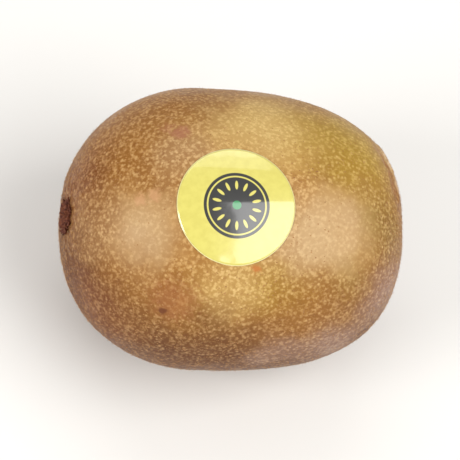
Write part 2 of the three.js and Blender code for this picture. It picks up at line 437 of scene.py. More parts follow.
# Each zone has a middle on the skin, a reach in mm, a colour, a strength, and how far it is free
# of speckles.
# Painted light among the zones: the tan zones on the stem side, the blossom side and beside the sticker
# are painted highlights, the grey rose zones along the lower rim are a painted sheen, the darkest zones
# low on the blossom side, on its rim and at the front are painted shade, and the russet blossom edge
# and the brown far side are partly real colour and partly painted shade.
ZONES = [
    ("honey_above", (4.0, 10.0, 52.0), 20.0, HONEY, 0.95, 0.80),
    ("honey_below", (-3.5, -22.0, 43.8), 13.0, HONEY, 0.70, 0.40),
    ("honey_below_right", (7.0, -22.5, 43.0), 11.0, OLIVE, 0.60, 0.35),
    ("olive_stem_side", (22.0, 8.0, 48.5), 20.0, OLIVE, 0.90, 0.60),
    ("painted_highlight_stem_side", (17.7, -11.0, 48.5), 14.5, TAN_AND_HIGHLIGHT, 0.55, 1.0),
    ("painted_highlight_blossom_side", (-20.0, -12.0, 46.7), 12.5, TAN_AND_HIGHLIGHT, 0.66, 1.0),
    ("painted_highlight_beside_sticker", (11.0, -13.0, 49.3), 14.0, TAN_AND_HIGHLIGHT, 0.65, 0.70),
    ("tan_scuff_side", (-13.5, 2.5, 52.5), 11.0, TAN_AND_HIGHLIGHT, 0.40, 0.30),
    ("tan_blossom_mid", (-29.0, -8.0, 41.5), 11.0, TAN_AND_HIGHLIGHT, 0.25, 0.0),
    ("olive_stem_rim", (28.0, -9.0, 43.5), 11.0, MOSS, 0.40, 0.0),
    ("olive_band_top", (20.0, -19.5, 42.0), 9.0, PALE_MOSS, 0.30, 0.0),
    ("brown_blossom_top", (-21.0, 10.0, 47.5), 17.0, BROWN, 0.70, 0.0),
    ("russet_and_shade_blossom_edge", (-32.0, 3.0, 37.0), 13.0, RUSSET, 0.75, 0.0),
    ("painted_shade_blossom_rim", (-30.0, -14.0, 27.0), 12.0, PAINTED_RIM_SHADE, 0.70, 0.45),
    ("painted_shade_blossom_low", (-26.0, -20.0, 28.0), 13.0, RUSSET, 0.70, 0.25),
    ("brown_band", (12.0, -26.0, 36.5), 16.0, BROWN, 0.80, 0.0),
    ("painted_shade_front", (-7.0, -28.0, 34.0), 11.0, LOW_SHADE_BROWN, 0.45, 0.0),
    ("brown_and_shade_far_side", (-8.0, 22.0, 45.0), 14.0, BROWN, 0.70, 0.0),
    ("painted_sheen_rim", (30.0, -16.0, 34.0), 12.0, RIM_SHEEN_TINT, 0.80, 0.45),
    ("painted_sheen_rim_low", (19.0, -26.0, 27.0), 12.0, RIM_SHEEN_TINT, 0.80, 0.30),
    ("painted_sheen_rim_front", (8.0, -28.0, 27.0), 9.0, RIM_SHEEN_TINT, 0.60, 0.10),
]
print("the skin has", len(ZONES), "colour zones")

# %% [markdown]
# The zones would look like spots of a spray can if they were round. So each place is first moved
# by a broad noise, and the colour is looked up where it lands: the edges wander, and no two are
# alike. The zones could be masks painted by hand, but then they would belong to one map.

# %% Wandering edges


def swayed(tree, place, size, amount):
    """Each place moved by noise, so that what is drawn there gets a wandering edge."""
    noise_inputs = {"Vector": place, "Scale": 1 / size, "Detail": 5.0}
    sway = add_node(tree, "TexNoise", noise_inputs).outputs["Color"]
    sway = vector_node(tree, "SUBTRACT", sway, (0.5, 0.5, 0.5))
    return vector_node(tree, "ADD", place, vector_node(tree, "SCALE", sway, amount))


# %% The ground of the skin
SWAY_SIZE, SWAY = 8.0, 12.0
MOTTLE_SIZE = 12.0
# The ends turn russet, partly real browning and partly painted shade, and from the middle height down
# the skin turns dark brown, which is painted shade.
END_START, END_FULL, END_STRENGTH = 20.0, 36.0, 0.6
LOW_SKIN, HIGH_SKIN, LOW_SHADE_STRENGTH = 24.0, 44.0, 0.90
LOW_CLEAN = 0.25


def skin_ground(tree, place):
    """The colour without speckles, and how speckled it is from 0 to 1."""
    bent = swayed(tree, place, SWAY_SIZE, SWAY)
    parts = add_node(tree, "SeparateXYZ", {0: bent}).outputs
    mottle = fade_node(tree, noise_node(tree, place, MOTTLE_SIZE, 5.0, 0.6), 0.30, 0.70)
    ground = mix_node(tree, mottle, BRONZE, BROWN)
    # Partly painted shade: both ends turn russet.
    far_end = fade_node(tree, math_node(tree, "ABSOLUTE", parts["X"]), END_START, END_FULL)
    ground = mix_node(tree, math_node(tree, "MULTIPLY", far_end, END_STRENGTH), ground, RUSSET)
    # Painted shade: from the middle height down the skin turns dark brown.
    underside = fade_node(tree, parts["Z"], HIGH_SKIN, LOW_SKIN)
    painted_low_shade = math_node(tree, "MULTIPLY", underside, LOW_SHADE_STRENGTH)
    ground = mix_node(tree, painted_low_shade, ground, LOW_SHADE_BROWN)
    clean = math_node(tree, "MULTIPLY", underside, LOW_CLEAN)
    for name, centre, reach, tint, strength, free in ZONES:
        apart = vector_node(tree, "DISTANCE", bent, centre)
        apart.node.label = name
        share = fade_node(tree, apart, reach, reach * 0.1)
        ground = mix_node(tree, math_node(tree, "MULTIPLY", share, strength), ground, tint)
        if free:
            calm = math_node(tree, "MINIMUM", math_node(tree, "MULTIPLY", share, 1.2 + free), 1.0)
            clean = math_node(tree, "MAXIMUM", clean, math_node(tree, "MULTIPLY", calm, free))
    return ground, math_node(tree, "SUBTRACT", 1.0, clean)


# %% [markdown]
# Looked at closely the skin is speckled: pale grains, each under a millimetre, and small corky
# dots lie over a darker net with reddish flecks in it. The grains are the hills of a fine noise,
# and the dots and flecks are the middles of a cell texture. Their strength follows how clean the
# ground is, because the gold patches and the painted highlights show the fewest.

# %% The speckles of the skin
GRAIN_SIZE = 0.80
DOT_SPACING = 0.90
FLECK_SPACING = 1.6
GRAIN_FADE = (0.44, 0.74)
GRAIN_MIDDLE = 0.20
DOT_FADE = (0.46, 0.06)
DOT_MIDDLE = 0.05
# How much of the grain is left where the skin is clean, and how much is lost low down
DEPTH_ALWAYS, DEPTH_MORE = 0.55, 0.9
LOW_CALM, LOW_CALM_FROM, LOW_CALM_TO = 0.18, 46.0, 38.0
NET_TINT = colour(190, 160, 120)
FLECK_TINT = colour(190, 138, 112)
PALE_TINT = colour(228, 190, 136)
PALE_SHARE = 0.34
# How much more of each shows where the skin is speckled than where it is clean
NET_MORE, GRAIN_MORE, DOT_MORE, FLECK_MORE = 0.14, 0.38, 0.72, 0.40


def skin_dots(tree, place, spacing, shift):
    """How much each place is a dot, from 0 between them to 1 in the middle of a strong one."""
    moved = vector_node(tree, "ADD", place, (shift, shift * 2, shift * 3))
    cells = add_node(tree, "TexVoronoi", {"Vector": moved, "Scale": 1 / spacing})
    dot = fade_node(tree, cells.outputs["Distance"], *DOT_FADE)
    chance = add_node(tree, "SeparateColor", {0: cells.outputs["Color"]}).outputs[0]
    return math_node(tree, "MULTIPLY", dot, fade_node(tree, chance, 0.0, 0.9))


def drawn_in(tree, pattern, middle, depth):
    """A pattern pulled toward its own middle value, fully where the depth is 0."""
    away = math_node(tree, "SUBTRACT", pattern, middle)
    return math_node(tree, "MULTIPLY_ADD", away, depth, middle)


def skin_speckles(tree, place, speckled):
    """The pale grains, the corky dots and the reddish flecks, each from 0 to 1."""
    depth = math_node(tree, "MULTIPLY_ADD", speckled, DEPTH_MORE, DEPTH_ALWAYS)
    depth = math_node(tree, "MINIMUM", depth, 1.0)
    upward = add_node(tree, "SeparateXYZ", {0: place}).outputs["Z"]
    low = fade_node(tree, upward, LOW_CALM_FROM, LOW_CALM_TO)
    depth = math_node(tree, "MULTIPLY", depth, math_node(tree, "MULTIPLY_ADD", low, -LOW_CALM, 1.0))
    grains = fade_node(tree, noise_node(tree, place, GRAIN_SIZE, 3.0, 0.55), *GRAIN_FADE)
    dots = skin_dots(tree, place, DOT_SPACING, 0.0)
    flecks = skin_dots(tree, place, FLECK_SPACING, 9.0)
    grains = drawn_in(tree, grains, GRAIN_MIDDLE, depth)
    return grains, drawn_in(tree, dots, DOT_MIDDLE, depth), flecks


# %% Speckles over the ground
def shown(tree, pattern, speckled, more, always=0.5):
    """How strongly a pattern shows: always a little, and more where the skin is speckled."""
    return math_node(tree, "MULTIPLY", pattern, math_node(tree, "MULTIPLY_ADD", speckled, more, always))


skin_material, tree, shader = new_material("speckled_skin")
place = place_in_mm(tree)
ground, speckled = skin_ground(tree, place)
grains, dots, flecks = skin_speckles(tree, place, speckled)
net = math_node(tree, "SUBTRACT", 1.0, math_node(tree, "MAXIMUM", grains, dots))
net_share = shown(tree, net, speckled, NET_MORE)
fleck_share = shown(tree, flecks, speckled, FLECK_MORE, always=0.0)
grain_share = shown(tree, grains, speckled, GRAIN_MORE)
dot_share = shown(tree, dots, speckled, DOT_MORE)
pale = mix_node(tree, PALE_SHARE, ground, PALE_TINT)
skin_colour = mix_node(tree, net_share, ground, NET_TINT, "MULTIPLY")
skin_colour = mix_node(tree, fleck_share, skin_colour, FLECK_TINT, "MULTIPLY")
skin_colour = mix_node(tree, math_node(tree, "ADD", grain_share, dot_share), skin_colour, pale)
print("the skin material has", len(tree.nodes), "nodes")

# %% [markdown]
# The fold on the stem shoulder gets a painted highlight along its crest and painted shade along
# the groove on its inner side. Each is a chain of straight lines, and noise frays its edge and
# breaks gaps into it, because an even line would look drawn on.

# %% The painted highlight and shade of the fold on the shoulder
EDGE_SIZE = 0.9
FRAY_SIZE = 2.4
FRAY_AMOUNT = 2.0
# The pale lines are a painted highlight along the crest, and the dark lines are painted shade in the
# groove beside it.
FOLD_SHADE = colour(140, 84, 36)
CREST_HIGHLIGHT = colour(210, 178, 140)
# Each line has a start, an end, a reach in mm, a colour and a strength.
FOLDS = [
    ("painted_shade_fold", (28.0, 11.8, 42.6), (30.1, 7.4, 42.8), 1.5, FOLD_SHADE, 0.7),
    ("painted_shade_fold", (30.1, 7.4, 42.8), (31.4, 1.5, 42.6), 1.5, FOLD_SHADE, 0.7),
    ("painted_highlight_fold", (29.3, 13.1, 40.4), (30.4, 10.9, 40.9), 0.8, CREST_HIGHLIGHT, 0.65),
    ("painted_highlight_fold", (30.4, 10.9, 40.9), (31.5, 7.0, 41.2), 1.0, CREST_HIGHLIGHT, 0.95),
    ("painted_highlight_fold", (31.5, 7.0, 41.2), (32.5, 2.4, 40.9), 0.8, CREST_HIGHLIGHT, 0.65),
]


def line_apart(tree, place, start, end):
    """How far each place lies from the straight line between two points, in mm."""
    reach = Vector(end) - Vector(start)
    off = vector_node(tree, "SUBTRACT", place, start)
    along = vector_node(tree, "DOT_PRODUCT", off, reach / reach.length_squared)
    along = math_node(tree, "MINIMUM", math_node(tree, "MAXIMUM", along, 0.0), 1.0)
    return vector_node(tree, "DISTANCE", off, vector_node(tree, "SCALE", reach, along))


frayed = swayed(tree, place, FRAY_SIZE, FRAY_AMOUNT)
fold_gaps = fade_node(tree, noise_node(tree, place, EDGE_SIZE, 3.0), 0.30, 0.60)
for name, start, end, reach, tint, strength in FOLDS:
    share = fade_node(tree, line_apart(tree, frayed, start, end), reach, reach * 0.2)
    share.node.label = name
    share = math_node(tree, "MULTIPLY", share, math_node(tree, "MULTIPLY", fold_gaps, strength))
    skin_colour = mix_node(tree, share, skin_colour, tint)
print("the fold has", len(FOLDS), "lines")

# %% [markdown]
# The other marks are round: rosy scuffs, a pale streak, an orange spot, one dark dot in a corky
# patch. A list of places is all they need, and noise makes their edges uneven.

# %% Scuffs and spots on the skin
STREAK_TINT = colour(200, 150, 106)
# Each spot has a middle, a reach in mm, a colour and a strength.
SPOTS = [
    ("scuff", (-13.4, 7.5, 52.3), 2.6, ROSE, 0.7),
    ("faint_scuff", (-15.7, 8.9, 51.2), 2.0, ROSE, 0.4),
    ("streak_one", (-21.6, -6.6, 49.4), 1.8, STREAK_TINT, 0.6),
    ("streak_two", (-18.9, -6.2, 50.5), 1.8, STREAK_TINT, 0.6),
    ("orange_spot", (1.3, -19.6, 46.6), 1.3, colour(186, 112, 52), 0.8),
    ("corky_patch", (-14.4, -23.8, 40.2), 6.5, colour(156, 98, 60), 0.5),
    ("dark_dot", (-16.1, -24.7, 37.5), 1.1, colour(104, 56, 30), 0.9),
]

rough_edge = math_node(tree, "SUBTRACT", noise_node(tree, place, EDGE_SIZE, 3.0), 0.5)
for name, centre, reach, tint, strength in SPOTS:
    apart = vector_node(tree, "DISTANCE", place, centre)
    apart.node.label = name
    uneven = math_node(tree, "MULTIPLY", rough_edge, 0.6 + 1.1 * reach)
    uneven = math_node(tree, "ADD", apart, uneven)
    share = math_node(tree, "MULTIPLY", fade_node(tree, uneven, reach, reach * 0.3), strength)
    skin_colour = mix_node(tree, share, skin_colour, tint)
tree.links.new(skin_colour, shader.inputs["Base Color"])
print("the skin carries", len(SPOTS), "spots")

# %% [markdown]
# Kiwi skin is neither wet nor chalky. It has a faint waxy shine, which handling has dulled in
# patches, so the roughness wanders slowly. The corky dots stand up a little in a bump. A sheen
# layer could stand for the down, but it would turn the whole rim pale, and the hairs come later
# as a piece of their own.

# %% The finish of the skin
WAXED, WORN_MORE = 0.41, 0.10
WEAR_SIZE = 7.0
PORE_SIZE = 0.35
BUMP_HEIGHT = 0.035

worn_wax = fade_node(tree, noise_node(tree, place, WEAR_SIZE, 4.0), 0.30, 0.70)
roughness = math_node(tree, "MULTIPLY_ADD", worn_wax, WORN_MORE, WAXED)
tree.links.new(roughness, shader.inputs["Roughness"])
shader.inputs["Specular IOR Level"].default_value = 0.20

pores = noise_node(tree, place, PORE_SIZE, 4.0, 0.6)
height = math_node(tree, "ADD", math_node(tree, "MULTIPLY_ADD", grains, 0.8, dots), pores)
calm = math_node(tree, "MULTIPLY_ADD", speckled, 0.8, 0.1)
height = math_node(tree, "MULTIPLY", height, calm)
bump = add_node(tree, "Bump", {"Height": height, "Distance": BUMP_HEIGHT * MM, "Strength": 0.8})
tree.links.new(bump.outputs[0], shader.inputs["Normal"])
fruit_skin.data.materials.append(skin_material)
print("the finished skin has", len(tree.nodes), "nodes")

# %% [markdown]
# Where does a point lie on the bare end of the fruit? The remains at both ends are built in a
# small map of their own: two coordinates across the end, measured from the middle of its
# hollow, and one outward.

# %% Building on the ends


def root_x(half, y, z):
    share = np.hypot(y / (FRUIT_WIDTH / 2), z / (FRUIT_HEIGHT / 2))
    along = half["side"] * (1 - share ** half["full_across"]) ** (1 / half["full_along"])
    return end_x(half, along, y, z)


def on_end(half, across, upward, out):
    """A point in the frame, from a place on the map of one end and a height off the skin."""
    y = np.asarray(across) + half["hollow_y"]
    z = np.asarray(upward) + half["hollow_z"]
    x = root_x(half, y, z) + half["side"] * np.asarray(out)
    return np.stack(np.broadcast_arrays(x, y, z), axis=-1) + MIDDLE


def join_shells(shells):
    """Several lists of points and faces as one."""
    points, faces, total = [], [], 0
    for shell_points, shell_faces in shells:
        points.append(shell_points)
        faces += [tuple(v + total for v in face) for face in shell_faces]
        total += len(shell_points)
    return np.concatenate(points), faces


def turned_shell(half, profile, steps, roughen):
    """A closed turned form on one end. The profile lists radius and height off the skin, from
    the middle of its top to the middle of its buried base."""
    angles = 2 * np.pi * np.arange(steps) / steps
    listed = np.arange(len(profile))
    finer = np.linspace(0, len(profile) - 1, 3 * len(profile) - 2)[1:-1]
    points = []
    for radius, out in zip(np.interp(finer, listed, [p[0] for p in profile]),
                           np.interp(finer, listed, [p[1] for p in profile])):
        uneven = roughen * np.array([noise.noise(Vector((radius * math.cos(a), radius * math.sin(a),
                                                         out)) * 1.7) for a in angles])
        spread = radius * (1 + 0.35 * uneven)
        points.append(on_end(half, spread * np.cos(angles), spread * np.sin(angles), out + uneven))
    rings_made = len(points)
    points = np.concatenate(points)
    tips = [on_end(half, 0.0, 0.0, profile[0][1]), on_end(half, 0.0, 0.0, profile[-1][1])]
    points = np.concatenate([points, tips])
    flip = half["side"] < 0
    faces = ring_faces(rings_made, steps)
    faces += cap_faces(rings_made * steps, 0, steps, flip=False)
    faces += cap_faces(rings_made * steps + 1, (rings_made - 1) * steps, steps, flip=True)
    return points, [face[::-1] for face in faces] if flip else faces


# %% [markdown]
# The dried flower sits on the blossom end as a low dark crust, rough all over. Out of it stand
# the broken styles, stiff little stubs of uneven length that lean outward and cling together in
# tufts. Each stub is a short bent tube that tapers to a ragged tip. They could be hair curves,
# but a mesh keeps its form in every other program too.

# %% A helper for bent, tapered tubes


def tapered_tube(path, radii, sides):
    """A closed tube along a path of points, with its own radius at each."""
    path = np.asarray(path, float)
    angles = 2 * np.pi * np.arange(sides) / sides
    points = []
    for i, (place, radius) in enumerate(zip(path, radii)):
        onward = path[min(i + 1, len(path) - 1)] - path[max(i - 1, 0)]
        onward /= np.linalg.norm(onward)
        helper = np.array([0.0, 0.0, 1.0]) if abs(onward[2]) < 0.9 else np.array([0.0, 1.0, 0.0])
        first = np.cross(helper, onward)
        first /= np.linalg.norm(first)
        second = np.cross(onward, first)
        points.append(place + radius * (np.cos(angles)[:, None] * first
                                        + np.sin(angles)[:, None] * second))
    points = np.concatenate(points + [path[:1], path[-1:]])
    rows = len(path)
    faces = [face[::-1] for face in ring_faces(rows, sides)]
    faces += cap_faces(rows * sides, 0, sides, flip=True)
    faces += cap_faces(rows * sides + 1, (rows - 1) * sides, sides, flip=False)
    return points, faces


# %% The dried flower
STYLE_COUNT = 64
STYLE_SPREAD = 2.8
STYLE_LENGTH = 1.25
STYLE_RADIUS = 0.33
TUFT_TURNS = np.array([0.1, 0.9, 1.5, 2.4, 2.9, 3.7, 4.6, 5.1, 5.8])
TUFT_PULL = 0.7
GOLDEN_ANGLE = math.pi * (3 - math.sqrt(5))
PLUG_PROFILE = [(0, 0.55), (0.5, 0.6), (1.2, 0.85), (1.9, 1.0), (2.4, 0.95), (2.8, 0.65),
                (3.0, 0.3), (3.05, -0.2), (2.9, -1.0), (0, -1.2)]


def style_stub(index, chance):
    share = math.sqrt((index + 0.5) / STYLE_COUNT)
    turn = index * GOLDEN_ANGLE % (2 * math.pi)
    toward_tuft = TUFT_TURNS[np.argmin(abs(TUFT_TURNS - turn))] - turn
    lean = 0.2 + 0.8 * share
    length = STYLE_LENGTH * chance.uniform(0.4, 1.4)
    path = []
    for step in np.linspace(0, 1, 5):
        reach = share * STYLE_SPREAD + length * step * math.sin(lean) * (0.7 + 0.5 * step)
        bent = turn + TUFT_PULL * toward_tuft * step + 0.1 * chance.normal() * step
        out = -0.3 + (length + 0.5) * step * math.cos(lean * (0.8 + 0.4 * step))
        path.append(on_end(BLOSSOM, reach * math.cos(bent), reach * math.sin(bent), out))
    radii = STYLE_RADIUS * np.array([1.15, 0.95, 0.8, 0.75, 0.45]) * chance.uniform(0.65, 1.3)
    return tapered_tube(path, radii, 7)


chance = np.random.default_rng(41)
shells = [turned_shell(BLOSSOM, PLUG_PROFILE, 96, 0.75)]
shells += [style_stub(i, chance) for i in range(STYLE_COUNT)]
flower_remains = mesh_piece("flower_remains", *join_shells(shells))

# %% [markdown]
# At the other end the stalk broke away and left a round woody scar, cupped in the middle, with
# a raised corky rim. It is turned like the crust of the flower, only smoother. Five dried sepals
# cling round it, thin lobes that curl, and each is two sheets of a grid joined round their edge.

# %% The stem scar
SCAR_PROFILE = [(0, 0.35), (0.4, 0.38), (0.8, 0.42), (1.2, 0.55), (1.6, 0.80), (1.9, 0.98),
                (2.15, 0.95), (2.35, 0.75), (2.45, 0.45), (2.5, 0.1), (2.5, -0.5), (2.4, -1.1),
                (0, -1.2)]
stem_scar = mesh_piece("stem_scar", *turned_shell(STEM, SCAR_PROFILE, 96, 0.30))

# %% The dried sepals
SEPAL_COUNT = 5
SEPAL_LENGTH = 3.6
SEPAL_WIDTH = 2.6
SEPAL_ROOT = 1.75
SEPAL_TURN = 0.4
SEPAL_ROWS = 14
SEPAL_COLUMNS = 9
SEPAL_THICKNESS, SEPAL_EDGE = 0.28, 0.05


def sepal_shell(index, chance):
    """A thin pointed lobe, curled up at its tip and its edges, with a front and a back."""
    length_share = np.linspace(0, 1, SEPAL_ROWS)[:, None]
    width_share = np.linspace(-1, 1, SEPAL_COLUMNS)[None, :]
    lean = chance.uniform(-0.12, 0.12)
    narrowing = (1.04 - length_share**2.2) * (0.9 + 0.1 * np.cos(6 * length_share))
    half_width = SEPAL_WIDTH / 2 * narrowing
    outward = SEPAL_ROOT + SEPAL_LENGTH * length_share
    sideways = half_width * width_share + lean * SEPAL_LENGTH * length_share**2
    curl = 0.30 + 0.45 * length_share**2 + 0.22 * width_share**2 * (1 - length_share)
    curl = curl + 0.10 * np.sin(5 * width_share + 7 * length_share + index)
    thickness = SEPAL_THICKNESS * (1 - 0.6 * length_share) * (1 - 0.7 * width_share**2) + SEPAL_EDGE
    angle = 2 * math.pi * index / SEPAL_COUNT + SEPAL_TURN - math.pi / 2
    sheets = []
    for out in (curl + thickness / 2, curl - thickness / 2):
        across = outward * math.cos(angle) - sideways * math.sin(angle)
        upward = outward * math.sin(angle) + sideways * math.cos(angle)
        sheets.append(on_end(STEM, across, upward, out).reshape(-1, 3))
    points = np.concatenate(sheets)
    under = SEPAL_ROWS * SEPAL_COLUMNS
    faces = []
    for row in range(SEPAL_ROWS - 1):
        for column in range(SEPAL_COLUMNS - 1):
            a = row * SEPAL_COLUMNS + column
            b, c, d = a + SEPAL_COLUMNS, a + SEPAL_COLUMNS + 1, a + 1
            faces += [(a, b, c, d), (a + under, d + under, c + under, b + under)]
    last_row = (SEPAL_ROWS - 1) * SEPAL_COLUMNS
    for column in range(SEPAL_COLUMNS - 1):
        a, b = column, last_row + column
        faces += [(a, a + 1, a + 1 + under, a + under), (b + 1, b, b + under, b + 1 + under)]
    for row in range(SEPAL_ROWS - 1):
        a, b = row * SEPAL_COLUMNS, row * SEPAL_COLUMNS + SEPAL_COLUMNS - 1
        faces += [(a + SEPAL_COLUMNS, a, a + under, a + SEPAL_COLUMNS + under)]
        faces += [(b, b + SEPAL_COLUMNS, b + SEPAL_COLUMNS + under, b + under)]
    return points, faces


shells = [sepal_shell(i, chance) for i in range(SEPAL_COUNT)]
sepals = mesh_piece("sepals", *join_shells(shells))

# %% [markdown]
# What has dried is bark-like: dull, brown and mottled. The three dry pieces differ only in their
# two browns and in how coarse their fibres are, so one function makes the material of each.

# %% The dry woody materials
DRY_ROUGHNESS, DRY_GLOSS = 0.75, 0.3


def dry_material(name, dark, light, grain_size, bump_height):
    """Dull dried tissue, mottled between two browns."""
    material, tree, shader = new_material(name)
    place = place_in_mm(tree)
    fibres = noise_node(tree, place, grain_size, 5.0, 0.65)
    patches = noise_node(tree, place, grain_size * 4, 2.0)
    share = math_node(tree, "MULTIPLY_ADD", fibres, 0.7, math_node(tree, "MULTIPLY", patches, 0.3))
    tint = mix_node(tree, fade_node(tree, share, 0.32, 0.68), dark, light)
    plain_finish(tree, shader, tint, DRY_ROUGHNESS, DRY_GLOSS)
    bump = add_node(tree, "Bump", {"Height": fibres, "Distance": bump_height * MM})
    tree.links.new(bump.outputs[0], shader.inputs["Normal"])
    print(name, "has", len(tree.nodes), "nodes")
    return material


flower_remains.data.materials.append(
    dry_material("dried_flower", colour(68, 22, 16), colour(124, 70, 42), 0.5, 0.12))
stem_scar.data.materials.append(
    dry_material("woody_scar", colour(84, 56, 36), colour(160, 122, 84), 0.4, 0.10))
sepals.data.materials.append(
    dry_material("dried_sepals", colour(56, 34, 20), colour(116, 78, 48), 0.35, 0.08))

# %% [markdown]
# Some of the corky dots are big enough to stand up from the skin. They are scattered over its
# triangles by chance, more of them where the skin is brown and none under the sticker. Each is a
# low closed dome with six sides, so a whole coat of them stays light. A scatter of instances
# would be lighter still, but the export leaves instances out.

# %% Scatter places over the skin
loops = fruit_skin.data.loop_triangles
fruit_skin.data.calc_loop_triangles()
triangles = np.empty(len(loops) * 3, dtype=np.int64)
loops.foreach_get("vertices", triangles)
triangles = triangles.reshape(-1, 3)
corners = skin_points[triangles]
edge_cross = np.cross(corners[:, 1] - corners[:, 0], corners[:, 2] - corners[:, 0])
areas = np.linalg.norm(edge_cross, axis=1) / 2
centres = corners.mean(axis=1)
print("the skin measures", round(areas.sum() / 100, 1), "square centimetres")


def scatter(count, weight, chance):
    """Points and normals spread over the skin, by area and by a weight for each triangle."""
    share = areas * weight
    picked = chance.choice(len(areas), size=count, p=share / share.sum())
    first, second = chance.random(count), chance.random(count)
    fold = first + second > 1
    first, second = np.where(fold, 1 - first, first), np.where(fold, 1 - second, second)
    corner_share = np.stack([1 - first - second, first, second], axis=1)[..., None]
    points = (corners[picked] * corner_share).sum(axis=1)
    normals = (skin_normals[triangles[picked]] * corner_share).sum(axis=1)
    return points, normals / np.linalg.norm(normals, axis=1, keepdims=True)


def side_vectors(normals):
    """Two directions in the skin for each normal, the first one along the fruit."""
    along_fruit = np.array([1.0, 0.0, 0.0]) - normals * normals[:, :1]
    short = np.linalg.norm(along_fruit, axis=1) < 1e-3
    along_fruit[short] = np.array([0.0, 1.0, 0.0])
    along_fruit /= np.linalg.norm(along_fruit, axis=1, keepdims=True)
    return along_fruit, np.cross(normals, along_fruit)


# %% How the specks are spread
SPECKS_WHERE_CLEAN = 0.15
LYING_BELOW = 0.15

clean_share = np.zeros(len(centres))
for _, centre, reach, _, _, free in ZONES:
    apart = np.linalg.norm(centres - np.array(centre), axis=1)
    share = np.minimum(1.6 * (1 - smooth_step(reach * 0.1, reach, apart)), 1.0)
    clean_share = np.maximum(clean_share, free * share)
covered = under_sticker(centres, 0.3)
lying_on = centres[:, 2] < LYING_BELOW
speck_weight = (1 + SPECKS_WHERE_CLEAN - clean_share) * (1 - covered) * ~lying_on
print("specks may grow on", round(100 * np.mean(speck_weight > 0)), "% of the triangles")

# %% The corky specks
SPECK_COUNT = 15000
SPECK_SIDES = 6
SPECK_SUNK = 0.04
SPECK_RADIUS = (0.10, 0.24)
SPECK_STEEPNESS = (0.16, 0.30)
SPECK_STRETCH = 1.25
SPECK_WOBBLE = (0.8, 1.2)

chance = np.random.default_rng(7)
speck_points, speck_normals = scatter(SPECK_COUNT, speck_weight, chance)
speck_radius = chance.uniform(*SPECK_RADIUS, SPECK_COUNT)
speck_height = speck_radius * chance.uniform(*SPECK_STEEPNESS, SPECK_COUNT)
first, second = side_vectors(speck_normals)
speck_turn = chance.uniform(0, 2 * np.pi, SPECK_COUNT)
angles = 2 * np.pi * np.arange(SPECK_SIDES) / SPECK_SIDES
wobble = chance.uniform(*SPECK_WOBBLE, (SPECK_COUNT, SPECK_SIDES))
reach_first = (speck_radius * SPECK_STRETCH)[:, None] * np.cos(angles + speck_turn[:, None]) * wobble
reach_second = speck_radius[:, None] * np.sin(angles + speck_turn[:, None]) * wobble
base = speck_points - SPECK_SUNK * speck_normals
rims = (base[:, None, :] + reach_first[..., None] * first[:, None, :]
        + reach_second[..., None] * second[:, None, :])
tops = speck_points + speck_height[:, None] * speck_normals
all_points = np.concatenate([rims, tops[:, None, :]], axis=1).reshape(-1, 3)
all_points[:, 2] = np.maximum(all_points[:, 2], 0.0)
dome = [(i, (i + 1) % SPECK_SIDES, SPECK_SIDES) for i in range(SPECK_SIDES)]
dome += [(0, i + 1, i) for i in range(1, SPECK_SIDES - 1)]
starts = np.arange(SPECK_COUNT)[:, None, None] * (SPECK_SIDES + 1)
specks = mesh_piece("specks", all_points, (starts + np.array(dome)).reshape(-1, 3).tolist())

# %% The material of the specks
speck_material, tree, shader = new_material("corky_specks")
place = place_in_mm(tree)
tint = mottled(tree, place, 5.0, 3.0, (0.35, 0.65), colour(160, 110, 56), colour(132, 84, 38))
tint = mottled(tree, place, 0.4, 2.0, (0.3, 0.7), tint, colour(180, 132, 76))
plain_finish(tree, shader, tint, roughness=0.55, gloss=0.4)
specks.data.materials.append(speck_material)
print("the speck material has", len(tree.nodes), "nodes")

# %% [markdown]
# A golden kiwi fruit has lost most of its fur by the time it is packed. What is left are short
# stiff hairs, thickest round both ends and lying nearly flat elsewhere. Hair curves and
# particles would be quick, but the export drops them, so every hair is a closed spike with
# three sides, bent by one knee so that it doesn't look like a needle.

# %% How the hairs are spread
FUZZ_ANYWHERE, FUZZ_BELOW = 0.10, 0.12
NO_HAIR_BELOW = 0.6

stem_share = smooth_step(24.0, 34.0, centres[:, 0])
blossom_share = smooth_step(-22.0, -33.0, centres[:, 0])
fuzz_weight = FUZZ_ANYWHERE + np.maximum(stem_share, blossom_share)
fuzz_weight += FUZZ_BELOW * smooth_step(30.0, 10.0, centres[:, 2])
fuzz_weight = fuzz_weight * (1 - covered) * (centres[:, 2] > NO_HAIR_BELOW) * (1 - 0.7 * clean_share)
print("the ends carry up to", round(fuzz_weight.max() / FUZZ_ANYWHERE, 1), "times as many hairs")

# %% The hairs
HAIR_COUNT = 14000
HAIR_RADIUS = 0.028
HAIR_LENGTH = (0.30, 0.85)
HAIR_LIFT = (0.15, 0.8)
HAIR_SUNK = 0.05

chance = np.random.default_rng(19)
roots, hair_normals = scatter(HAIR_COUNT, fuzz_weight, chance)
first, second = side_vectors(hair_normals)
hair_turn = chance.uniform(0, 2 * np.pi, HAIR_COUNT)[:, None]
flat = first * np.cos(hair_turn) + second * np.sin(hair_turn)
hair_length = chance.uniform(*HAIR_LENGTH, HAIR_COUNT)[:, None]
lift = chance.uniform(*HAIR_LIFT, HAIR_COUNT)[:, None]
knee = roots + hair_length * (0.5 * flat * (1 - 0.4 * lift) + 0.45 * lift * hair_normals)
tip = roots + hair_length * (1.0 * flat * (1 - 0.3 * lift) + 0.60 * lift * hair_normals)
side = np.cross(flat, hair_normals)
ring = [np.cos(a) * hair_normals + np.sin(a) * side for a in (0, 2 * np.pi / 3, 4 * np.pi / 3)]
low = [roots - HAIR_SUNK * hair_normals + HAIR_RADIUS * r for r in ring]
bend = [knee + 0.75 * HAIR_RADIUS * r for r in ring]
hair_points = np.stack(low + bend + [tip], axis=1).reshape(-1, 3)
hair_points[:, 2] = np.maximum(hair_points[:, 2], 0.02)
spike = [(0, 2, 1)]
